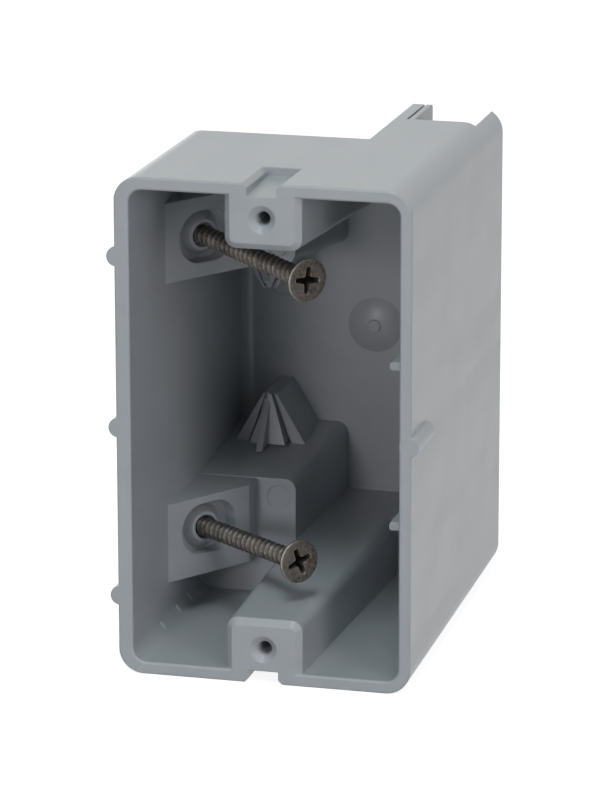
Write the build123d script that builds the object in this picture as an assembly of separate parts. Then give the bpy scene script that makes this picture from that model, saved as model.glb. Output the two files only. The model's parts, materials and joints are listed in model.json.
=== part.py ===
from build123d import *
import os
from math import cos, radians, sin, tan

# One-gang device box: a one-piece plastic moulding with two captive mounting screws.
# X runs from the stud side to the free side, Y from the front rim into the box, +Z is up.
# The origin lies midway between the two device holes, on the plane of the front rim.

# Box shell
rim_width = 57.0
box_depth = 82.6
corner_radius = 4.8
wall_draft = 0.5
stud_wall = 2.8
free_wall = 2.3
end_wall = 2.4
back_wall = 2.3
cavity_radius = 2.6
cavity_floor_fillet = 2.2
rim_break = 0.3
rear_break = 0.5
stud_facing = 0.05

# Device bosses, and the ridges that run back from them
device_spacing = 83.34
device_to_end = 6.78
device_hole = 2.8
device_countersink = 5.3
boss_width = 14.7
boss_reach = 5.8
boss_radius = 2.2
boss_bevel = 1.2
ridge_side_draft = 3.0
ridge_face_draft = 2.0
ridge_core_wall = 2.6

# Pry slots in the rim above and below the bosses
slot_width = 5.8
slot_bevel = 0.9
slot_length = 15.1
slot_front_depth = 2.5
slot_rear_depth = 1.7
slot_backing = 2.4

# Rear notches on the stud side, where the cables come in over a bevelled edge
notch_lip_front = 45.4
notch_lip_length = 4.0
notch_lip_drop = 1.4
shelf_height = 22.0
shelf_width = 19.8
shelf_radius = 2.2
shelf_draft = 5.4
shelf_edge_draft = 4.0

# Cable hoods on the shelves, each with a hinged flap and a stiffening fin
hood_length = 14.0
hood_offset = 9.4
upper_hood_crest = 11.9
lower_hood_crest = 10.1
hood_crest_width = 2.8
hood_side_angle = 30.5
hood_wall = 2.0
hood_skin = 1.6
flap_foot = 7.6
flap_crest_width = 0.7
flap_lead = 2.4
flap_slit = 0.6
flap_gap = 0.35
flap_web = 0.4
fin_width = 1.3
fin_lead = 6.7
fin_drop = 1.0
fin_offset = 0.6

# Rear pockets on the free side, each with a hinged cable tongue
pocket_length = 16.1
pocket_width = 12.9
rail_width = 3.9
rail_groove = 0.5
rail_groove_depth = 1.6
rail_skin = 1.1
tongue_slit = 0.8
tongue_margin = 0.9
pocket_radius = 0.8

# Ramps that carry the mounting screws, each with a recess and a collar round the screw
ramp_start = 24.3
ramp_angle = 34.0
ramp_width = 11.7
ramp_step = 0.15
ramp_height = 15.8
seat_across = 5.7
upper_seat = 30.1
lower_seat = 28.7
seat_depth = 3.2
seat_width = 10.3
seat_length = 13.9
seat_shift = 0.4
collar_base = 5.1
collar_top = 3.0
collar_drop = 0.8

# Mounting screws
screw_length = 41.3
screw_diameter = 4.1
screw_head = 8.4
screw_head_angle = 82.0
screw_head_edge = 0.4
screw_point = 3.4
screw_tip = 0.6
screw_angle = 41.92
screw_lean = 2.65
screw_clearance = 0.35
upper_screw_hold = 5.7
lower_screw_hold = 8.6
drive_span = 4.9
drive_width = 1.1
drive_depth = 2.0
drive_taper = 12.0

# Depth stops on the outside, and small moulded details inside
stop_length = 12.7
stop_radius = 1.9
stop_proud = 1.5
stop_height = 33.1
rib_front = 3.0
rib_length = 9.0
rib_reach = 2.5
rib_thickness = 1.6
rib_upper = 14.6
rib_lower = -16.3
gate_x = 2.2
gate_z = 2.0
gate_radius = 5.7
gate_height = 1.3
gate_nib_radius = 1.3
gate_nib_height = 0.25
mark_radius = 2.35
mark_depth = 0.2
mark_x = -17.5
mark_upper = 9.5
mark_lower = -5.4
shelf_mark_inset = 3.5
shelf_mark_gap = 3.8

# How far a blind cut or a joined piece runs past the face it meets
overlap = 1.0
beyond = 8.0
skin = 0.25

device_z = device_spacing / 2
rim_height = device_spacing + 2 * device_to_end
stud_face = -rim_width / 2
stud_inside = stud_face + stud_wall
back_inside = box_depth - back_wall
core_front = slot_length + slot_backing
notch_front = notch_lip_front + notch_lip_length
shelf_front = notch_front - end_wall
shelf_edge = stud_inside + shelf_width
hood_front = back_inside - hood_length
hood_centre = stud_inside + hood_offset
pocket_front = box_depth - pocket_length
pocket_edge = rim_width / 2 - free_wall - pocket_width
notch_edge = pocket_edge - rail_width
ramp_edge = stud_inside + ramp_width
ramp_low = shelf_height + ramp_step


def free_face(y):
    return rim_width / 2 - y * tan(radians(wall_draft))


def free_inside(y):
    return free_face(y) - free_wall


def end_face(y):
    return rim_height / 2 - y * tan(radians(wall_draft))


def end_inside(y):
    return end_face(y) - end_wall


# The ridge's stud side, which turns into the shelf just before the shelf's front
def ridge_left(y):
    sunk = max(0, y - shelf_front + overlap)
    return -boss_width / 2 - sunk * tan(radians(shelf_edge_draft))


def ridge_right(y):
    return boss_width / 2 + y * tan(radians(ridge_side_draft))


def ridge_face(y):
    return device_z - boss_reach - y * tan(radians(ridge_face_draft))


def shelf_right(y):
    return shelf_edge + (y - shelf_front) * tan(radians(shelf_edge_draft))


def shelf_face(y):
    return shelf_height - (y - shelf_front) * tan(radians(shelf_draft))


# How far a ramp's sloping face has run back where it stands off the wall by the given amount
def ramp_run(across):
    return across / tan(radians(ramp_angle))


# A rectangle across the box at depth y, facing the front, its corners rounded or sharp
def section(y, left, right, low, high, radius):
    plane = Plane(origin=(0, y, 0), x_dir=(1, 0, 0), z_dir=(0, -1, 0))
    size = (right - left, high - low)
    outline = RectangleRounded(*size, radius) if radius else Rectangle(*size)
    return (plane * Pos((left + right) / 2, (low + high) / 2) * outline).face()


# A straight-sided solid through sections at (depth, growth) stations; each bound is a function of depth
def stacked(stations, left, right, low, high, radius):
    sections = [section(y, left(y) - grow, right(y) + grow, low(y) - grow, high(y) + grow, radius + grow)
                for y, grow in stations]
    return loft(sections, ruled=True)


def between(front, rear, left, right, low, high, radius):
    return stacked([(front, 0), (rear, 0)], left, right, low, high, radius)


def fixed(value):
    return lambda y: value


# A flat outline of (across, up) points at depth y, carried back by length
def prism_along_y(points, y, length):
    plane = Plane(origin=(0, y, 0), x_dir=(1, 0, 0), z_dir=(0, -1, 0))
    return extrude((plane * make_face(Polyline(*points, close=True))).face(), length, dir=(0, 1, 0))


# A flat outline of (depth, up) points, centred on x and as wide as given
def prism_along_x(points, x, width):
    plane = Plane(origin=(x - width / 2, 0, 0), x_dir=(0, 1, 0), z_dir=(1, 0, 0))
    return extrude((plane * make_face(Polyline(*points, close=True))).face(), width, dir=(1, 0, 0))


def box_between(x0, x1, y0, y1, z0, z1):
    size = Box(x1 - x0, y1 - y0, z1 - z0)
    return Pos((x0 + x1) / 2, (y0 + y1) / 2, (z0 + z1) / 2) * size


def lower_copy(shape):
    return mirror(shape, about=Plane.XY)


# The drafted outside, its edges broken at the rim and at the rear, and its stud side faced flat
def shell_outside():
    stations = [(0, -rim_break), (rim_break, 0), (box_depth - rear_break, 0), (box_depth, -rear_break)]
    blank = stacked(stations, fixed(stud_face - stud_facing), free_face,
                    lambda y: -end_face(y), end_face, corner_radius)
    return blank & box_between(stud_face, rim_width / 2 + overlap, -overlap, box_depth + overlap,
                               -rim_height / 2 - overlap, rim_height / 2 + overlap)


# The drafted inside, its edge broken at the rim and rounded at the back wall
def shell_cavity():
    stations = [(-overlap, rim_break + overlap), (rim_break, 0), (back_inside, 0)]
    hollow = stacked(stations, fixed(stud_inside), free_inside,
                     lambda y: -end_inside(y), end_inside, cavity_radius)
    return fillet(hollow.faces().sort_by(Axis.Y)[-1].edges(), cavity_floor_fillet)


# The boss at the rim and the drafted ridge behind it, down to the back wall
def ridge():
    stations = [(0, 0), (shelf_front - overlap, 0), (box_depth - back_wall / 2, 0)]
    block = stacked(stations, ridge_left, ridge_right, ridge_face, lambda y: end_face(y) - skin, boss_radius)
    return chamfer(block.faces().sort_by(Axis.Y)[0].edges(), boss_bevel)


# The step that the rear notch makes inside the box
def shelf_block():
    return between(shelf_front, box_depth - back_wall / 2, fixed(stud_face + stud_wall / 2), shelf_right,
                   shelf_face, lambda y: end_face(y) - end_wall / 2, shelf_radius)


# The step that the free-side pocket makes inside the box
def pocket_block():
    return between(pocket_front - end_wall, box_depth - back_wall / 2, fixed(0),
                   lambda y: free_face(y) - free_wall / 2, ridge_face,
                   lambda y: end_face(y) - end_wall / 2, boss_radius)


# A wedge on the stud-side wall whose sloping face looks towards the opening
def ramp_block():
    buried = stud_wall / 2
    outline = [(stud_inside - buried, ramp_start - ramp_run(buried)),
               (ramp_edge, ramp_start + ramp_run(ramp_width)),
               (ramp_edge, shelf_front + overlap),
               (stud_inside - buried, shelf_front + overlap)]
    face = make_face(Polyline(*outline, close=True)).face()
    return Pos(0, 0, ramp_low) * extrude(face, ramp_height, dir=(0, 0, 1))


# Where a screw's axis meets the ramp face, at a height given for the upper ramp
def seat_point(height):
    return Vector(stud_inside + seat_across, ramp_start + ramp_run(seat_across), height)


# The plane along the ramp face, its x axis running up the ramp
def ramp_plane(height, offset):
    slope = Vector(sin(radians(ramp_angle)), cos(radians(ramp_angle)), 0)
    out = Vector(cos(radians(ramp_angle)), -sin(radians(ramp_angle)), 0)
    return Plane(origin=seat_point(height) + out * offset, x_dir=slope, z_dir=out)


# The plane square to a screw, at a distance out from the ramp face
def screw_plane(height, offset):
    lean = radians(screw_lean)
    across = sin(radians(screw_angle))
    along = cos(radians(screw_angle))
    out = Vector(along * cos(lean), -across * cos(lean), -sin(lean))
    return Plane(origin=seat_point(height) + out * offset, x_dir=Vector(across, along, 0), z_dir=out)


# The recess in the ramp face round the collar, and the guide bore through the collar and the wall
def ramp_seat(height):
    floor = ramp_plane(height, -seat_depth) * Pos(seat_shift, 0)
    recess = extrude(floor * SlotOverall(seat_length, seat_width), seat_depth + beyond)
    collar = loft([(screw_plane(height, -seat_depth - overlap) * Circle(collar_base)).face(),
                   (screw_plane(height, -collar_drop) * Circle(collar_top)).face()])
    guide_radius = screw_diameter / 2 + screw_clearance
    guide = extrude(screw_plane(height, 0) * Circle(guide_radius), -screw_length / 2)
    return (recess - collar) + guide


# The bevel over which a cable comes into the rear notch
def notch_lip():
    front = end_face(notch_lip_front)
    fall = notch_lip_drop / notch_lip_length
    rear = notch_front + overlap
    side = [(notch_lip_front, front), (rear, front - fall * (rear - notch_lip_front)),
            (rear, front + beyond), (notch_lip_front, front + beyond)]
    left = stud_face - beyond
    return prism_along_x(side, (left + notch_edge) / 2, notch_edge - left)


# The space outside the box that the rear notch takes away, and the core behind the boss
def notch_space():
    deep = between(notch_front, box_depth + overlap, fixed(stud_face - beyond),
                   lambda y: shelf_right(y) - free_wall,
                   lambda y: shelf_face(y) + end_wall, fixed(rim_height / 2 + beyond), shelf_radius)
    shallow = between(notch_front, box_depth + overlap, fixed(shelf_edge - beyond), fixed(notch_edge),
                      lambda y: ridge_face(y) + end_wall, fixed(rim_height / 2 + beyond), boss_radius)
    core = between(core_front, notch_front + overlap, fixed(-boss_width / 2 + ridge_core_wall),
                   lambda y: ridge_right(y) - ridge_core_wall,
                   lambda y: ridge_face(y) + ridge_core_wall, end_inside, 0)
    return deep + shallow + core + notch_lip()


def pocket_space():
    room = between(pocket_front, box_depth + overlap, fixed(pocket_edge), free_inside,
                   lambda y: ridge_face(y) + end_wall, fixed(rim_height / 2 + beyond), pocket_radius)
    groove_x = pocket_edge - rail_skin - rail_groove
    groove_z = end_face(pocket_front) - rail_groove_depth
    groove = box_between(groove_x, groove_x + rail_groove, pocket_front, box_depth + overlap,
                         groove_z, rim_height / 2 + beyond)
    return room + groove


# Slits round the tongue that a cable pushes in, cut through the pocket's floor
def pocket_slits():
    left = pocket_edge + tongue_margin
    right = free_inside(box_depth) - tongue_margin
    front = pocket_front + tongue_margin
    rear = back_inside - tongue_margin
    low = ridge_face(box_depth) - overlap
    high = ridge_face(pocket_front) + end_wall + overlap
    cut = box_between(left, left + tongue_slit, front, rear, low, high)
    cut += box_between(right - tongue_slit, right, front, rear, low, high)
    cut += box_between(left, right, rear - tongue_slit, rear, low, high)
    return cut


# The hood's end outline from its crest up into the shelf, drawn in by a wall
def hood_outline(crest, inset, rise):
    slope = tan(radians(hood_side_angle))
    side_inset = inset / cos(radians(hood_side_angle))
    low = crest + inset
    low_half = hood_crest_width / 2 + slope * inset - side_inset
    high = shelf_face(hood_front) + rise
    high_half = hood_crest_width / 2 + slope * (high - crest) - side_inset
    return [(hood_centre - low_half, low), (hood_centre + low_half, low),
            (hood_centre + high_half, high), (hood_centre - high_half, high)]


def hood(crest):
    foot = shelf_face(hood_front)
    tent = prism_along_y(hood_outline(crest, 0, overlap), hood_front, hood_length + overlap)
    half_crest = flap_crest_width / 2
    half_foot = flap_foot / 2
    flap_plan = [(hood_centre - half_crest, crest), (hood_centre + half_crest, crest),
                 (hood_centre + half_foot, foot), (hood_centre - half_foot, foot)]
    rear = hood_front + hood_skin
    flap_side = [(rear, crest), (hood_front, crest), (hood_front - flap_lead, foot), (rear, foot)]
    wedge = prism_along_x(flap_side, hood_centre, 2 * flap_foot)
    flap = wedge & prism_along_y(flap_plan, hood_front - flap_lead, flap_lead + hood_skin)
    return tent + flap


# The cable way through the shelf into the hood, and the slits round the flap, down to a web that breaks
def hood_space(crest):
    foot = shelf_face(hood_front)
    past_crest = crest - overlap
    way_front = hood_front + hood_skin
    way_outline = hood_outline(crest, hood_wall, end_wall + overlap)
    way = prism_along_y(way_outline, way_front, hood_length - hood_skin)
    slits = None
    for side in (-1, 1):
        low = (hood_centre + side * flap_foot / 2, foot)
        wide = (low[0] + side * flap_slit, foot)
        edge = hood_centre + side * flap_crest_width / 2
        far_edge = edge + side * flap_slit
        outline = [(edge, past_crest), (edge, crest), low, wide, (far_edge, crest), (far_edge, past_crest)]
        slit = prism_along_y(outline, hood_front - flap_lead - overlap,
                             flap_lead + overlap + hood_skin - flap_web)
        slits = slit if slits is None else slits + slit
    rear = way_front - flap_web
    front = hood_front - flap_lead - overlap
    front_z = shelf_face(front)
    rear_z = shelf_face(rear)
    gap = [(front, front_z), (rear, rear_z), (rear, rear_z - flap_gap), (front, front_z - flap_gap)]
    return way + slits + prism_along_x(gap, hood_centre, flap_foot + 2 * flap_slit)


# The fin that stiffens a flap, its foot clear of the shelf
def flap_fin(crest):
    rear = hood_front + hood_skin
    front = hood_front - fin_lead
    top = crest + fin_drop
    side = [(rear, top), (hood_front, top), (front, shelf_face(front) - flap_gap),
            (rear, shelf_face(rear) - flap_gap)]
    return prism_along_x(side, hood_centre - fin_offset, fin_width)


# The slot in the rim, bevelled along its outer edges, with a floor that rises to the rear
def pry_slot():
    half = slot_width / 2
    ends = []
    for y, depth in ((0, slot_front_depth), (slot_length, slot_rear_depth)):
        outside = end_face(y)
        top = outside + overlap
        wide = half + slot_bevel + overlap
        plane = Plane(origin=(0, y, 0), x_dir=(1, 0, 0), z_dir=(0, -1, 0))
        points = [(-half, outside - depth), (half, outside - depth), (half, outside - slot_bevel),
                  (wide, top), (-wide, top), (-half, outside - slot_bevel)]
        ends.append((plane * make_face(Polyline(*points, close=True))).face())
    return loft(ends, ruled=True)


def device_bore():
    plane = Plane(origin=(0, 0, device_z), x_dir=(1, 0, 0), z_dir=(0, -1, 0))
    bore = extrude(plane * Circle(device_hole / 2), -(core_front + overlap))
    depth = (device_countersink - device_hole) / 2
    sink = loft([(plane * Circle(device_countersink / 2)).face(),
                 (plane * Pos(0, 0, -depth) * Circle(device_hole / 2)).face()])
    return bore + sink


# A half-round bar from the rim back, which stops the box at the face of the stud
def depth_stop(x, z):
    return Pos(x, stop_length / 2, z) * Rot(90, 0, 0) * Cylinder(stop_radius, stop_length)


def depth_stops():
    sunk = stop_radius - stop_proud
    stops = depth_stop(rim_width / 2 - sunk, 0)
    for z in (-stop_height, 0, stop_height):
        stops += depth_stop(stud_face + sunk, z)
    return stops


def wall_rib(z):
    tip = free_inside(rib_front) - rib_reach
    root = free_inside(rib_front) + free_wall / 2
    half = rib_thickness / 2
    bar = box_between(tip, root, rib_front, rib_front + rib_length, z - half, z + half)
    return fillet(bar.edges().filter_by(Axis.Y).group_by(Axis.X)[0], rib_thickness / 3)


# The shallow dome that the moulding gate leaves on the back wall, with a nib at its centre
def gate_dome():
    ball = (gate_radius ** 2 + gate_height ** 2) / (2 * gate_height)
    middle = gate_radius / 2
    drop = ball - (ball ** 2 - middle ** 2) ** 0.5
    plane = Plane(origin=(gate_x, back_inside, gate_z), x_dir=(1, 0, 0), z_dir=(0, 0, 1))
    buried = back_wall / 2
    arc = ThreePointArc((gate_radius, 0), (middle, drop - gate_height), (0, -gate_height))
    sides = Polyline((0, -gate_height), (0, buried), (gate_radius, buried), (gate_radius, 0))
    dome = revolve(plane * make_face(arc + sides), Axis((gate_x, back_inside, gate_z), (0, 1, 0)))
    reach = gate_height + gate_nib_height
    nib = Pos(gate_x, back_inside - reach / 2, gate_z) * Rot(90, 0, 0) * Cylinder(gate_nib_radius, reach)
    return dome + nib


def ejector_mark(x, y, z):
    return Pos(x, y, z) * Rot(90, 0, 0) * Cylinder(mark_radius, 2 * mark_depth)


def ejector_marks():
    marks = ejector_mark(mark_x, back_inside, mark_upper)
    marks += ejector_mark(mark_x, back_inside, mark_lower)
    shelf_mark_x = shelf_edge - shelf_mark_inset
    shelf_mark_z = shelf_height + shelf_mark_gap
    marks += ejector_mark(shelf_mark_x, shelf_front, shelf_mark_z)
    marks += ejector_mark(shelf_mark_x, shelf_front, -shelf_mark_z)
    return marks


def box_body():
    added = ridge() + lower_copy(ridge())
    added += shelf_block() + lower_copy(shelf_block())
    added += pocket_block() + lower_copy(pocket_block())
    added += ramp_block() + lower_copy(ramp_block())
    added += wall_rib(rib_upper) + wall_rib(rib_lower)
    outside = shell_outside()
    body = (outside - shell_cavity()) + (added & outside)
    body += hood(upper_hood_crest)
    body += lower_copy(hood(lower_hood_crest))
    body += gate_dome()
    body -= notch_space()
    body -= lower_copy(notch_space())
    body -= hood_space(upper_hood_crest)
    body -= lower_copy(hood_space(lower_hood_crest))
    body += flap_fin(upper_hood_crest)
    body += lower_copy(flap_fin(lower_hood_crest))
    body -= pocket_space() + pocket_slits()
    body -= lower_copy(pocket_space() + pocket_slits())
    body -= pry_slot() + device_bore()
    body -= lower_copy(pry_slot() + device_bore())
    body -= ramp_seat(upper_seat)
    body -= lower_copy(ramp_seat(lower_seat))
    body -= ejector_marks()
    body += depth_stops()
    return body


# A flat-head screw standing on its axis: the head's face at height 0, the point below
def mounting_screw():
    head_radius = screw_head / 2
    shank = screw_diameter / 2
    cone = (head_radius - shank) / tan(radians(screw_head_angle / 2))
    outline = [(0, 0), (head_radius, 0), (head_radius, -screw_head_edge), (shank, -screw_head_edge - cone),
               (shank, -screw_length + screw_point), (screw_tip / 2, -screw_length), (0, -screw_length)]
    turned = revolve(Plane.XZ * make_face(Polyline(*outline, close=True)), Axis.Z)
    arm = Rectangle(drive_span, drive_width) + Rectangle(drive_width, drive_span)
    recess = extrude(arm, -drive_depth, taper=drive_taper)
    return turned - recess


# A screw as it stands in the upper ramp, held by the given length of it past the ramp face
def placed_screw(height, hold):
    return screw_plane(height, screw_length - hold) * mounting_screw()


os.makedirs("parts", exist_ok=True)
export_step(box_body(), "parts/box_body.step")
export_step(placed_screw(upper_seat, upper_screw_hold), "parts/upper_mounting_screw.step")
export_step(lower_copy(placed_screw(lower_seat, lower_screw_hold)), "parts/lower_mounting_screw.step")
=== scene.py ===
import json
import bmesh
import bpy
import numpy as np
from mathutils import Matrix, Vector


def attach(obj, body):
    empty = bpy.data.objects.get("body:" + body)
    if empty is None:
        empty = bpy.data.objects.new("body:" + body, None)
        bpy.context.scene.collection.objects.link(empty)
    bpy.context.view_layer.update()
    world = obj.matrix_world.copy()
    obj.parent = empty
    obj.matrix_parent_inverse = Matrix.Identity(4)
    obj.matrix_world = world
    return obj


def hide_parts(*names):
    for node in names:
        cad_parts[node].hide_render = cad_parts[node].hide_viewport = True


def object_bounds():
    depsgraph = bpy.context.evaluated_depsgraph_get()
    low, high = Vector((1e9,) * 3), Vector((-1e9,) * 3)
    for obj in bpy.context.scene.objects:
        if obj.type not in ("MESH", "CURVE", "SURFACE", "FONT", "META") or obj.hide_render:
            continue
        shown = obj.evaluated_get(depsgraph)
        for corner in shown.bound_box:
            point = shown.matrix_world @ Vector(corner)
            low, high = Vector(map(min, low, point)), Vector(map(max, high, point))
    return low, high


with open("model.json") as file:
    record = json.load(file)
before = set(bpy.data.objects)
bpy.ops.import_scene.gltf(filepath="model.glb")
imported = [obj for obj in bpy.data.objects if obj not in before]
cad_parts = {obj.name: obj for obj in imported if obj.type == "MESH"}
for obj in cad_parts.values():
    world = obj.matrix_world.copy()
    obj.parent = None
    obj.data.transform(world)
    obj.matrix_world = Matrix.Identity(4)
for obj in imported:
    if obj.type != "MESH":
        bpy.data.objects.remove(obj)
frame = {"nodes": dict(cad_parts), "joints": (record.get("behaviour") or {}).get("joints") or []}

mm = 0.001
fullTurn = 2 * np.pi
cadBox = [list(corner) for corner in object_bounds()]
print("frame loaded:", ", ".join(sorted(frame["nodes"])))


class Wire:
    # one output socket of a node tree; sums on wires add Math nodes
    def __init__(self, tree, socket=None):
        self.tree = tree
        self.socket = socket

    def make(self, kind, settings=None, sockets=None, out=0):
        # any other node: its settings first, then the values or links of its sockets
        node = self.tree.nodes.new(kind)
        for name, value in (settings or {}).items():
            setattr(node, name, value)
        for name, value in (sockets or {}).items():
            if isinstance(value, Wire):
                self.tree.links.new(value.socket, node.inputs[name])
            else:
                node.inputs[name].default_value = value
        return Wire(self.tree, node.outputs[out] if len(node.outputs) else None)

    def sums(self, operation, first, second):
        return self.make("ShaderNodeMath", {"operation": operation}, {0: first, 1: second})

    def __add__(self, other):
        return self.sums("ADD", self, other)

    def __radd__(self, other):
        return self.sums("ADD", other, self)

    def __sub__(self, other):
        return self.sums("SUBTRACT", self, other)

    def __rsub__(self, other):
        return self.sums("SUBTRACT", other, self)

    def __mul__(self, other):
        return self.sums("MULTIPLY", self, other)

    def __rmul__(self, other):
        return self.sums("MULTIPLY", other, self)


def paint(red, green, blue):
    # a colour as seen on a screen, 0 to 255, turned into the light values that shaders use
    shown = np.array([red, green, blue]) / 255
    light = np.where(shown <= 0.04045, shown / 12.92, ((shown + 0.055) / 1.055) ** 2.4)
    return (*light.tolist(), 1.0)


def newTree(name):
    material = bpy.data.materials.new(name)
    material.use_nodes = True
    material.node_tree.nodes.clear()
    return material, Wire(material.node_tree)


def noise(tree, where, scale, detail=2.0, rough=0.5, twist=0.0):
    sockets = {"Vector": where, "Scale": scale, "Detail": detail, "Roughness": rough, "Distortion": twist}
    return tree.make("ShaderNodeTexNoise", None, sockets, "Fac")


def spread(tree, value, low, high, toLow=0.0, toHigh=1.0):
    # a value between low and high, clamped, eased and carried over to the new range
    sockets = {"Value": value, "From Min": low, "From Max": high, "To Min": toLow, "To Max": toHigh}
    return tree.make("ShaderNodeMapRange", {"interpolation_type": "SMOOTHSTEP"}, sockets)


def blendColour(tree, share, base, other):
    # the Mix node's colour sockets are its seventh and eighth, and its colour comes out third
    return tree.make("ShaderNodeMix", {"data_type": "RGBA"}, {0: share, 6: base, 7: other}, 2)


def stretched(tree, where, turn, scale):
    return tree.make("ShaderNodeMapping", None, {"Vector": where, "Rotation": turn, "Scale": scale})


def softEdges(tree, radius, alikeRange):
    # the rounded normal near edges, and a mask that is 1 where it leaves the flat one most
    rounded = tree.make("ShaderNodeBevel", {"samples": 6}, {"Radius": radius})
    flat = tree.make("ShaderNodeNewGeometry", out="True Normal")
    alike = tree.make("ShaderNodeVectorMath", {"operation": "DOT_PRODUCT"}, {0: rounded, 1: flat}, "Value")
    return rounded, spread(tree, alike, *alikeRange)


mouldedPvc = {
    "colour": (172, 177, 181),
    "pale": (176, 181, 185),
    "deep": (167, 172, 176),
    # painted highlight colour for the edges; the rubbed scuff lines take the same pale colour
    "edge": (190, 195, 199),
    "edgeRadius": 0.35 * mm,
    "edgeRange": (0.995, 0.80),  # likeness of the rounded and flat normals, off an edge and on it
    "edgeShare": 0.45,
    "cloudScale": 16.0,
    "cloudRange": (0.3, 0.7),
    "cloudShare": 0.35,
    "mottleScale": 75.0,
    "mottleRange": (0.3, 0.7),
    "mottleShare": 0.35,
    "streakTurn": (0.0, 0.0, 0.0),
    "streakScale": (190.0, 9.0, 190.0),
    "streakRange": (0.35, 0.68),
    "streakShare": 0.30,
    "scuffTurn": (0.5, 0.3, 0.9),
    "scuffScale": (26.0, 620.0, 620.0),
    "scuffRange": (0.70, 0.78),
    "scuffShare": 0.30,
    "grainScale": 2400.0,
    "grainDepth": 0.03 * mm,
    "grainShare": 0.6,  # of the relief; the mottle has the rest
    "grainStrength": 0.22,
    "roughness": 0.33,
    "roughnessSwing": 0.04,
    "ior": 1.40,
}


def makeMouldedPvc(look):
    # satin grey plastic: faint clouds and flow streaks, a few rubbed lines, fine grain, and a painted
    # highlight that makes the edges paler
    material, tree = newTree("mouldedPvc")
    where = tree.make("ShaderNodeTexCoord", out="Object")
    clouds = spread(tree, noise(tree, where, look["cloudScale"], detail=3.0), *look["cloudRange"])
    mottle = spread(
        tree, noise(tree, where, look["mottleScale"], detail=4.0, rough=0.6), *look["mottleRange"])
    flow = stretched(tree, where, look["streakTurn"], look["streakScale"])
    streaks = spread(tree, noise(tree, flow, 1.0, detail=3.0, rough=0.55, twist=0.3), *look["streakRange"])
    rubbed = stretched(tree, where, look["scuffTurn"], look["scuffScale"])
    scuffs = spread(tree, noise(tree, rubbed, 1.0), *look["scuffRange"])
    grain = noise(tree, where, look["grainScale"])
    rounded, edge = softEdges(tree, look["edgeRadius"], look["edgeRange"])
    # paler above the middle shade, deeper below it
    shade = clouds * look["cloudShare"] + mottle * look["mottleShare"] + streaks * look["streakShare"]
    colour = blendColour(tree, spread(tree, shade, 0.5, 1.0), paint(*look["colour"]), paint(*look["pale"]))
    colour = blendColour(tree, spread(tree, shade, 0.5, 0.0), colour, paint(*look["deep"]))
    # painted highlight: the edges are blended towards the pale colour, and the rubbed scuff lines with them
    edgeHighlightAndScuffs = edge * look["edgeShare"] + scuffs * look["scuffShare"]
    colour = blendColour(tree, edgeHighlightAndScuffs, colour, paint(*look["edge"]))
    swing = look["roughnessSwing"]
    roughness = look["roughness"] + (mottle - 0.5) * swing + (streaks - 0.5) * swing - scuffs * swing
    relief = grain * look["grainShare"] + mottle * (1 - look["grainShare"])
    normal = tree.make("ShaderNodeBump", None, {
        "Height": relief, "Strength": look["grainStrength"], "Distance": look["grainDepth"],
        "Normal": rounded})
    surface = tree.make("ShaderNodeBsdfPrincipled", None, {
        "Base Color": colour, "Roughness": roughness, "Normal": normal, "IOR": look["ior"]})
    tree.make("ShaderNodeOutputMaterial", None, {"Surface": surface})
    return material


phosphateSteel = {
    "colour": (117, 112, 105),
    "deep": (64, 62, 59),
    "worn": (156, 150, 143),
    # painted shade colour, near black, for the cross recess and the thread roots
    "hollow": (14, 13, 13),
    "metallic": 0.78,
    "roughness": 0.56,
    "speckRoughness": 0.12,
    "wornRoughness": 0.10,
    "hollowRoughness": 0.3,
    "speckScale": 1700.0,
    "speckRange": (0.35, 0.70),
    "speckShare": 0.5,
    "cloudScale": 260.0,
    "cloudRange": (0.32, 0.68),
    "cloudShare": 0.35,
    "wearClouds": 0.4,
    "wearRange": (0.1, 1.1),
    "wearLimits": (0.25, 0.85),
    "grainScale": 3800.0,
    "grainDepth": 0.02 * mm,
    "grainShare": 0.6,  # of the relief; the specks have the rest
    "grainStrength": 0.45,
}


def makePhosphateSteel(look):
    # dark crystalline coating on steel, paler where "rubbed" is high, and darkened to near black by painted
    # shade in the cross recess and the thread roots
    material, tree = newTree("phosphateSteel")
    where = tree.make("ShaderNodeTexCoord", out="Object")
    rubbed = tree.make("ShaderNodeAttribute", {"attribute_name": "rubbed"}, None, "Fac")
    paintedShade = tree.make("ShaderNodeAttribute", {"attribute_name": "paintedShade"}, None, "Fac")
    clouds = spread(tree, noise(tree, where, look["cloudScale"], detail=3.0, rough=0.6), *look["cloudRange"])
    specks = spread(tree, noise(tree, where, look["speckScale"], detail=4.0, rough=0.65), *look["speckRange"])
    grain = noise(tree, where, look["grainScale"], detail=3.0, rough=0.6)
    shade = clouds * look["cloudShare"] + specks * look["speckShare"]
    coat = blendColour(tree, shade, paint(*look["deep"]), paint(*look["colour"]))
    patchy = specks + clouds * look["wearClouds"]
    wear = rubbed * spread(tree, patchy, *look["wearRange"], *look["wearLimits"])
    colour = blendColour(tree, wear, coat, paint(*look["worn"]))
    # painted shade: the cross recess and the thread roots are darkened to near black
    colour = blendColour(tree, paintedShade, colour, paint(*look["hollow"]))
    roughness = look["roughness"] + (specks - 0.5) * look["speckRoughness"]
    roughness = roughness - wear * look["wornRoughness"] + paintedShade * look["hollowRoughness"]
    relief = grain * look["grainShare"] + specks * (1 - look["grainShare"])
    normal = tree.make("ShaderNodeBump", None, {
        "Height": relief, "Strength": look["grainStrength"], "Distance": look["grainDepth"]})
    surface = tree.make("ShaderNodeBsdfPrincipled", None, {
        "Base Color": colour, "Metallic": look["metallic"], "Roughness": roughness, "Normal": normal})
    tree.make("ShaderNodeOutputMaterial", None, {"Surface": surface})
    return material


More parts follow.
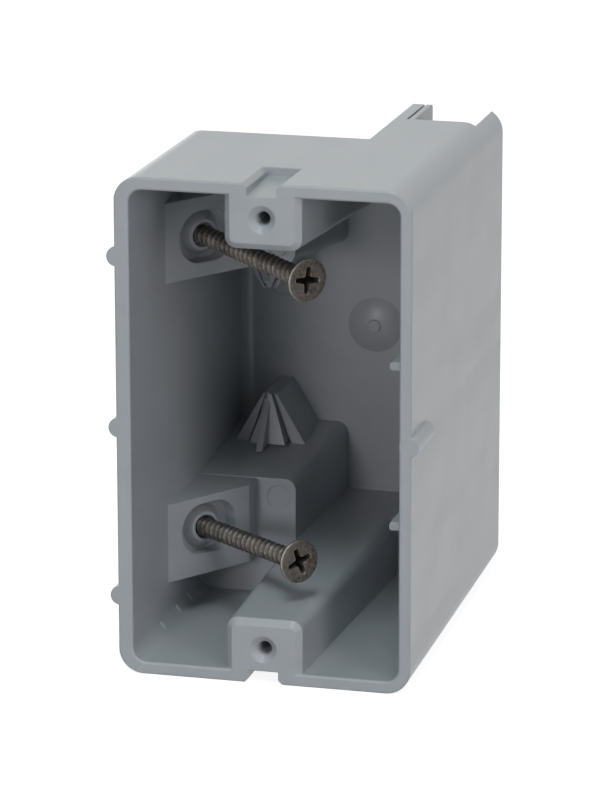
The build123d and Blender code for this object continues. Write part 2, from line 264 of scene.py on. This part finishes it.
pvcMaterial = makeMouldedPvc(mouldedPvc)
steelMaterial = makePhosphateSteel(phosphateSteel)
bodyMesh = frame["nodes"]["box_body"].data
bodyMesh.materials.clear()
bodyMesh.materials.append(pvcMaterial)
print("materials made")


meshFinish = {
    "mergeDistance": 0.002 * mm,
    "sharpAngle": 30.0,
}


def smooth(value):
    # three times the square less twice the cube of a value held between 0 and 1
    held = np.clip(value, 0, 1)
    return held * held * (3 - 2 * held)


def evenAngles(columns):
    return np.arange(columns) * fullTurn / columns


def gridFaces(rows, columns, first, shift):
    # quads of a grid whose last column meets the first one, shift rows further on
    k, j = np.meshgrid(np.arange(rows - 1 - shift), np.arange(columns), indexing="ij")
    nextColumn = (j + 1) % columns
    step = np.where(j == columns - 1, shift, 0)
    here = first + k * columns + j
    beside = first + (k + step) * columns + nextColumn
    return np.stack([here, beside, beside + columns, here + columns], -1).reshape(-1, 4)


def putPiece(name, points, faces, material, bodyName, marks):
    # a mesh with its doubled points merged and its normals outward; marks are values kept on its points
    mesh = bpy.data.meshes.new(name)
    mesh.from_pydata(points.reshape(-1, 3), [], faces)
    for key, values in marks.items():
        mark = mesh.attributes.new(key, "FLOAT", "POINT")
        mark.data.foreach_set("value", values.ravel().astype(np.float32))
    work = bmesh.new()
    work.from_mesh(mesh)
    bmesh.ops.remove_doubles(work, verts=work.verts, dist=meshFinish["mergeDistance"])
    bmesh.ops.recalc_face_normals(work, faces=work.faces)
    work.to_mesh(mesh)
    work.free()
    mesh.shade_smooth()
    mesh.set_sharp_from_angle(angle=np.radians(meshFinish["sharpAngle"]))
    mesh.materials.append(material)
    piece = bpy.data.objects.new(name, mesh)
    bpy.context.scene.collection.objects.link(piece)
    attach(piece, bodyName)
    print(name, "made with", len(mesh.polygons), "faces")
    return piece


mountingScrew = {
    "length": 41.3 * mm,
    "headRadius": 4.2 * mm,
    "headEdge": 0.4 * mm,
    "edgeRound": 0.28 * mm,
    "headAngle": 82.0,
    "neckRadius": 1.72 * mm,
    "rootRadius": 1.36 * mm,
    "crestRadius": 1.92 * mm,
    "pitch": 1.62 * mm,
    "threadPlaces": (0.0, 0.05, 0.16, 0.28, 0.40, 0.50, 0.56, 0.67, 0.78, 0.90),  # of a pitch
    "threadHeights": (1.0, 1.0, 0.75, 0.50, 0.22, 0.0, 0.0, 0.25, 0.50, 0.77),  # 1 is the crest
    "threadStart": 0.9,  # pitches that the thread takes to reach its height
    "pointLength": 3.4 * mm,
    "pointPower": 0.8,
    "tipRadius": 0.3 * mm,
    "armLength": 2.65 * mm,
    "armHalfWidth": 0.50 * mm,
    "cornerSoftness": 0.34,
    "cornerPower": 7.0,
    "armDepth": 1.3 * mm,
    "centreDepth": 2.6 * mm,
    "depthPower": 1.3,
    "footShare": 0.86,  # the recess's floor against its mouth
    "footInset": 0.05 * mm,
    "lip": 0.05 * mm,
    "columns": 128,
    "crowding": 0.6,
    "floorRows": 7,
    "wallRows": 4,
    "faceRows": 7,
    "edgeRows": 5,
    "coneRows": 9,
    "faceWear": 0.15,
    "lipWear": 0.8,
    "edgeWear": (0.2, 0.8),  # all over the rounded edge, and added at its middle
    "coneWear": (0.3, 0.1),
    "crestWear": 0.6,
    "wallShade": 0.8,
    "rootShade": 0.25,
    "upperTurn": 96.0,  # of the cross in each head
    "lowerTurn": 71.0,
}


def screwAngles(size):
    # even steps, drawn together near the four arms of the cross
    step = evenAngles(size["columns"])
    return step - size["crowding"] * np.sin(4 * step) / 4


def crossOutline(size, angles):
    # distance from the centre to the cross: the arm's side is a line at half its width,
    # its end an arc, and a power mean rounds the corner between them
    tiny = 1e-4
    power = size["cornerPower"]
    soft = size["cornerSoftness"]
    offArm = np.abs((angles + np.pi / 4) % (np.pi / 2) - np.pi / 4)
    softened = np.hypot(np.pi / 4, soft) - np.hypot(np.pi / 4 - offArm, soft)
    side = size["armHalfWidth"] / np.maximum(np.sin(np.maximum(softened, tiny)), tiny)
    return (side ** -power + size["armLength"] ** -power) ** (-1 / power)


def headSurface(size, angles):
    # rings (radius, depth) from the recess's centre over its wall, the face and the edge down the cone,
    # with how rubbed each is and how much painted shade each takes
    even = np.ones_like(angles)
    mouth = crossOutline(size, angles)
    foot = mouth * size["footShare"] - size["footInset"]
    floorRadius = np.linspace(0, 1, size["floorRows"])[:, None] * foot
    fall = np.clip(floorRadius / size["armLength"], 0, 1) ** size["depthPower"]
    floorDepth = size["centreDepth"] + (size["armDepth"] - size["centreDepth"]) * fall
    wall = np.linspace(0, 1, size["wallRows"] + 1)[1:, None]
    wallRadius = foot + (mouth - foot) * wall
    wallDepth = floorDepth[-1] + (size["lip"] - floorDepth[-1]) * wall
    across = np.linspace(0, 1, size["faceRows"])[:, None]
    faceEdge = size["headRadius"] - size["edgeRound"]
    faceRadius = (mouth + size["lip"]) * (1 - across) + faceEdge * across
    turn = np.linspace(0, np.pi / 2, size["edgeRows"] + 1)[1:, None]
    edgeRadius = (faceEdge + size["edgeRound"] * np.sin(turn)) * even
    edgeDepth = size["edgeRound"] * (1 - np.cos(turn)) * even
    drop = (size["headRadius"] - size["neckRadius"]) / np.tan(np.radians(size["headAngle"] / 2))
    under = np.linspace(0, 1, size["coneRows"])[:, None]
    coneRadius = (size["headRadius"] + (size["neckRadius"] - size["headRadius"]) * under) * even
    coneDepth = (size["headEdge"] + drop * under) * even
    radius = np.concatenate([floorRadius, wallRadius, faceRadius, edgeRadius, coneRadius])
    depth = np.concatenate([floorDepth, wallDepth, 0 * faceRadius, edgeDepth, coneDepth])
    worn = np.concatenate([
        0 * floorRadius,
        wall ** 4 * even,
        size["faceWear"] + size["lipWear"] * (across == 0) * even,
        size["edgeWear"][0] + size["edgeWear"][1] * np.sin(2 * turn) * even,
        np.linspace(*size["coneWear"], size["coneRows"])[:, None] * even])
    # painted shade: full on the recess floor, fading up its wall
    paintedShade = np.concatenate([
        np.ones_like(floorRadius),
        size["wallShade"] * (1 - wall ** 2) * even,
        0 * faceRadius,
        0 * edgeRadius,
        0 * coneRadius])
    return radius, depth, worn, paintedShade


def shankSurface(size, angles, start):
    # rows follow the thread: depth is the row's own plus a pitch for each turn, held between neck and
    # point; the radius is the root plus the V of the thread, which fades out at the neck and the point
    pitch = size["pitch"]
    turns = int(np.ceil((size["length"] - start) / pitch)) + 2
    row = (np.arange(turns)[:, None] + np.array(size["threadPlaces"])).ravel() * pitch + start - pitch
    ridge = np.tile(size["threadHeights"], turns)[:, None]
    depth = np.clip(row[:, None] + pitch * angles / fullTurn, start, size["length"])
    fade = smooth((depth - start) / (size["threadStart"] * pitch))
    base = size["neckRadius"] + (size["rootRadius"] - size["neckRadius"]) * fade
    radius = base + (size["crestRadius"] - base) * ridge * fade
    taper = np.clip((size["length"] - depth) / size["pointLength"], 0, 1)
    radius = size["tipRadius"] + (radius - size["tipRadius"]) * taper ** size["pointPower"]
    worn = ridge ** 3 * fade * size["crestWear"]
    # painted shade in the roots of the thread
    paintedShade = (1 - ridge) ** 2 * fade * size["rootShade"]
    return radius, depth, worn, paintedShade


def screwFrame(node, joint):
    # the screw's own axis, two directions square to it, and the middle of the head's face
    axis = np.array(Vector(joint["axis"]).normalized())
    across = np.cross((0.0, 0.0, 1.0), axis)
    across /= np.linalg.norm(across)
    upright = np.cross(axis, across)
    points = np.empty(len(node.data.vertices) * 3)
    node.data.vertices.foreach_get("co", points)
    points = points.reshape(-1, 3)
    middle = [(side.max() + side.min()) / 2 for side in (points @ across, points @ upright)]
    face = (points @ axis).min()
    return across * middle[0] + upright * middle[1] + axis * face, across, upright, axis


def makeScrew(name, nodeName, bodyName, jointName, crossTurn):
    # rings about the screw's axis: the head's, the shank's helical rows, and a last one that closes the tip
    size = mountingScrew
    joint = next(j for j in frame["joints"] if j["name"] == jointName)
    centre, across, upright, axis = screwFrame(frame["nodes"][nodeName], joint)
    angles = screwAngles(size)
    headRadius, headDepth, headWorn, headPaintedShade = headSurface(size, angles)
    shankRadius, shankDepth, shankWorn, shankPaintedShade = shankSurface(size, angles, headDepth[-1, 0])
    tip = np.zeros((1, size["columns"]))
    radius = np.concatenate([headRadius, shankRadius, tip])
    depth = np.concatenate([headDepth, shankDepth, tip + size["length"]])
    worn = np.concatenate([headWorn, shankWorn, tip])
    paintedShade = np.concatenate([headPaintedShade, shankPaintedShade, tip])
    turned = angles + np.radians(crossTurn)
    outward = across * np.cos(turned)[:, None] + upright * np.sin(turned)[:, None]
    points = centre + radius[..., None] * outward + depth[..., None] * axis
    columns = size["columns"]
    headRows, shankRows = len(headRadius), len(shankRadius)
    tipFirst = (headRows + shankRows - 1) * columns
    faces = np.concatenate([
        gridFaces(headRows, columns, 0, 0),
        gridFaces(shankRows, columns, headRows * columns, len(size["threadPlaces"])),
        gridFaces(2, columns, tipFirst, 0)])
    # the first mark is wear; the second carries the painted shade
    marks = {"rubbed": worn, "paintedShade": paintedShade}
    screw = putPiece(name, points, faces, steelMaterial, bodyName, marks)
    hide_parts(nodeName)


makeScrew(
    "upperScrew", "upper_mounting_screw", "upper_screw", "upper_screw_drive", mountingScrew["upperTurn"])
makeScrew(
    "lowerScrew", "lower_mounting_screw", "lower_screw", "lower_screw_drive", mountingScrew["lowerTurn"])


holeThread = {
    "spacing": 83.34 * mm,
    "seatRadius": 1.45 * mm,
    "rootRadius": 1.385 * mm,
    "crestRadius": 1.29 * mm,
    "pitch": 0.79 * mm,
    "threadHeights": (1.0, 1.0, 0.67, 0.33, 0.0, 0.0, 0.33, 0.67),  # 1 is the crest
    "threadStart": 0.4,  # pitches that the thread takes to reach its height
    "ragged": 0.07 * mm,
    "raggedWaves": (5, 9),
    "raggedTurn": 7.0,  # radians that the finer waves turn in a millimetre of depth
    "start": 1.35 * mm,
    "end": 17.0 * mm,
    "columns": 48,
}


def makeHoleThreads(size):
    # a lining for each device hole: helical rows as on the screws, with the radius at the root less the V
    # of the thread, which two sine waves make ragged, and a seat ring at either end that is closed inside
    # the wall
    pitch, start, end = size["pitch"], size["start"], size["end"]
    seat, root = size["seatRadius"], size["rootRadius"]
    angles = evenAngles(size["columns"])
    rowsPerTurn = len(size["threadHeights"])
    turns = int(np.ceil((end - start) / pitch)) + 2
    row = (np.arange(turns * rowsPerTurn) / rowsPerTurn - 1) * pitch + start
    depth = np.clip(row[:, None] + pitch * angles / fullTurn, start, end)
    reach = size["threadStart"] * pitch
    fade = smooth((depth - start) / reach) * smooth((end - depth) / reach)
    ridge = np.tile(size["threadHeights"], turns)[:, None] * fade
    coarse, fine = size["raggedWaves"]
    torn = np.sin(coarse * angles + 1) * np.sin(fine * angles + size["raggedTurn"] * depth / mm)
    threadRadius = root - (root - size["crestRadius"] + size["ragged"] * torn) * ridge
    # pairs of rings: the ring at the start, the one at the end, and the back that joins them
    seatDepth = np.array([start, start, end, end, end, start])
    seatRadius = np.array([seat, root, root, seat, seat, seat])
    even = np.ones_like(angles)
    radius = np.concatenate([threadRadius, seatRadius[:, None] * even])
    depth = np.concatenate([depth, seatDepth[:, None] * even])
    holes = np.array([0.5, -0.5])[:, None, None] * size["spacing"]
    points = np.stack(np.broadcast_arrays(
        radius * np.cos(angles), depth, holes + radius * np.sin(angles)), -1)
    rows, columns = radius.shape
    seatFirst = len(threadRadius)
    lining = np.concatenate([
        gridFaces(seatFirst, columns, 0, rowsPerTurn),
        *(gridFaces(2, columns, pair * columns, 0) for pair in range(seatFirst, rows, 2))])
    faces = np.concatenate([lining, lining + rows * columns])
    putPiece("holeThreads", points, faces, pvcMaterial, "box", {})


makeHoleThreads(holeThread)


cornerRib = {
    "places": (18.4 * mm, 29.1 * mm, 37.1 * mm),
    "centre": (-23.17 * mm, -43.52 * mm),
    "rise": 0.0088,  # of the corner's centre, for each unit of depth
    "cornerRadius": 2.53 * mm,
    "arc": (192.0, 241.0),
    "height": 0.42 * mm,
    "width": 0.70 * mm,
    "rows": 25,
    "columns": 16,
}


def makeCornerRibs(size):
    # crescents on the lower stud-side corner: an ellipse carried along the corner's arc, with a size that
    # goes as the root of a sine along it and so comes to a point at both ends
    place = np.array(size["places"])[:, None, None]
    share = np.linspace(0, 1, size["rows"])[:, None]
    angle = np.radians(size["arc"][0] + (size["arc"][1] - size["arc"][0]) * share)
    around = evenAngles(size["columns"])
    taper = np.sqrt(np.maximum(np.sin(np.pi * share), 0))
    reach = size["cornerRadius"] - size["height"] * taper * np.cos(around)
    x = size["centre"][0] + reach * np.cos(angle) + 0 * place
    y = place + size["width"] / 2 * taper * np.sin(around)
    z = size["centre"][1] + size["rise"] * place + reach * np.sin(angle)
    points = np.stack([x, y, z], -1)
    count = size["rows"] * size["columns"]
    faces = np.concatenate([
        gridFaces(size["rows"], size["columns"], rib * count, 0) for rib in range(len(size["places"]))])
    putPiece("cornerRibs", points, faces, pvcMaterial, "box", {})


makeCornerRibs(cornerRib)


studioFloor = {
    "half": 3.0,
    "gap": 0.05 * mm,
    "albedo": 0.60,
    "grainScale": 40.0,
    "grainSwing": 0.01,
    "glow": 0.88,
    "shadowAlbedo": 0.45,
}


def seenDirectly(tree):
    # 1 on rays that show the floor or the sky in the picture, in metal or through glass
    rays = tree.make("ShaderNodeLightPath", out="Is Camera Ray")
    node = rays.socket.node
    glossy = Wire(tree.tree, node.outputs["Is Glossy Ray"])
    through = Wire(tree.tree, node.outputs["Is Transmission Ray"])
    return tree.sums("MINIMUM", rays + glossy + through, 1.0)


def makeFloor(look):
    # a flat sheet on a 2 by 2 grid; it glows white where it is seen, and still takes the shadow
    material, tree = newTree("paleFloor")
    where = tree.make("ShaderNodeTexCoord", out="Object")
    low, high = look["albedo"] - look["grainSwing"], look["albedo"] + look["grainSwing"]
    specks = spread(tree, noise(tree, where, look["grainScale"], detail=3.0), 0.3, 0.7, low, high)
    paper = tree.make("ShaderNodeCombineColor", None, {"Red": specks, "Green": specks, "Blue": specks})
    matte = tree.make("ShaderNodeBsdfDiffuse", None, {"Color": paper})
    shown = tree.make("ShaderNodeBsdfDiffuse", None, {"Color": (look["shadowAlbedo"],) * 3 + (1.0,)})
    glow = tree.make("ShaderNodeEmission", None, {"Strength": look["glow"]})
    bright = tree.make("ShaderNodeAddShader", None, {0: shown, 1: glow})
    mixed = tree.make("ShaderNodeMixShader", None, {0: seenDirectly(tree), 1: matte, 2: bright})
    tree.make("ShaderNodeOutputMaterial", None, {"Surface": mixed})
    side = np.array([-1.0, 1.0]) * look["half"]
    x, y = np.meshgrid(side, side, indexing="ij")
    points = np.stack([x, y, np.full_like(x, cadBox[0][2] - look["gap"])], -1).reshape(-1, 3)
    mesh = bpy.data.meshes.new("floor")
    mesh.from_pydata(points, [], [(0, 2, 3, 1)])
    mesh.materials.append(material)
    floor = bpy.data.objects.new("floor", mesh)
    bpy.context.scene.collection.objects.link(floor)


makeFloor(studioFloor)


studioSky = {
    "ambient": (0.97, 0.99, 1.0, 1.0),
    "strength": 0.02,
    "seen": (1.0, 1.0, 1.0, 1.0),
    "seenStrength": 1.0,
}


def makeSky(look):
    # a faint light from all round, and plain white where the sky itself is seen
    world = bpy.data.worlds.new("studioSky")
    world.use_nodes = True
    world.node_tree.nodes.clear()
    tree = Wire(world.node_tree)
    fill = tree.make("ShaderNodeBackground", None, {"Color": look["ambient"], "Strength": look["strength"]})
    white = tree.make("ShaderNodeBackground", None, {"Color": look["seen"], "Strength": look["seenStrength"]})
    mixed = tree.make("ShaderNodeMixShader", None, {0: seenDirectly(tree), 1: fill, 2: white})
    tree.make("ShaderNodeOutputWorld", None, {"Surface": mixed})
    bpy.context.scene.world = world


makeSky(studioSky)


studioLamps = {
    "topLamp": {"place": (0.05, 0.05, 1.1), "size": 0.9, "power": 3.0, "colour": (1.0, 0.99, 0.92)},
    "highLamp": {"place": (0.05, -0.55, 1.05), "size": 0.5, "power": 4.0, "colour": (0.89, 0.98, 1.0)},
    "keyLamp": {"place": (0.75, -0.65, 0.57), "size": 0.6, "power": 1.5, "colour": (1.0, 1.0, 1.0)},
    "lowLamp": {"place": (0.8, -0.7, 0.15), "size": 0.4, "power": 1.85, "colour": (1.0, 0.92, 0.97)},
    "leftLamp": {"place": (-0.7, -0.7, 0.85), "size": 0.5, "power": 0.5, "colour": (0.50, 0.95, 1.0)},
    "frontLamp": {"place": (-0.2, -1.15, 0.2), "size": 0.25, "power": 2.4, "colour": (1.0, 0.93, 0.965)},
    "backLamp": {"place": (-0.8, 0.95, 0.3), "size": 0.8, "power": 3.0, "colour": (1.0, 1.0, 1.0)},
}


def makeLamp(name, look):
    # a disk that faces the origin
    lamp = bpy.data.lights.new(name, "AREA")
    lamp.shape = "DISK"
    lamp.size = look["size"]
    lamp.energy = look["power"]
    lamp.color = look["colour"]
    holder = bpy.data.objects.new(name, lamp)
    place = Vector(look["place"])
    holder.matrix_world = Matrix.Translation(place) @ place.to_track_quat("Z", "Y").to_matrix().to_4x4()
    holder.visible_camera = False
    bpy.context.scene.collection.objects.link(holder)


for lampName, lampLook in studioLamps.items():
    makeLamp(lampName, lampLook)
print("floor, sky and lamps made")


cameraView = {
    "azimuth": 14.591,
    "elevation": 15.3458,
    "roll": -0.0759,
    "place": (208.247 * mm, -768.703 * mm, 225.863 * mm),
    "lens": 199.62,
    "sensor": 36.0,
    "nearest": 0.01,
    "farthest": 20.0,
}


def makeCamera(view):
    # back points from the object to the camera; right and up are turned about it by the roll
    azimuth, elevation, roll = (np.radians(view[key]) for key in ("azimuth", "elevation", "roll"))
    level = np.cos(elevation)
    back = np.array([np.sin(azimuth) * level, -np.cos(azimuth) * level, np.sin(elevation)])
    right = np.cross((0.0, 0.0, 1.0), back)
    right /= np.linalg.norm(right)
    up = np.cross(back, right)
    rolledRight = np.cos(roll) * right + np.sin(roll) * up
    rolledUp = np.cos(roll) * up - np.sin(roll) * right
    turn = Matrix(np.stack([rolledRight, rolledUp, back], 1).tolist())
    lens = bpy.data.cameras.new("camera")
    lens.lens = view["lens"]
    lens.sensor_width = view["sensor"]
    lens.clip_start = view["nearest"]
    lens.clip_end = view["farthest"]
    holder = bpy.data.objects.new("camera", lens)
    holder.matrix_world = Matrix.Translation(view["place"]) @ turn.to_4x4()
    bpy.context.scene.collection.objects.link(holder)
    bpy.context.scene.camera = holder


makeCamera(cameraView)
bpy.context.scene.view_settings.view_transform = "Standard"
print("camera placed")
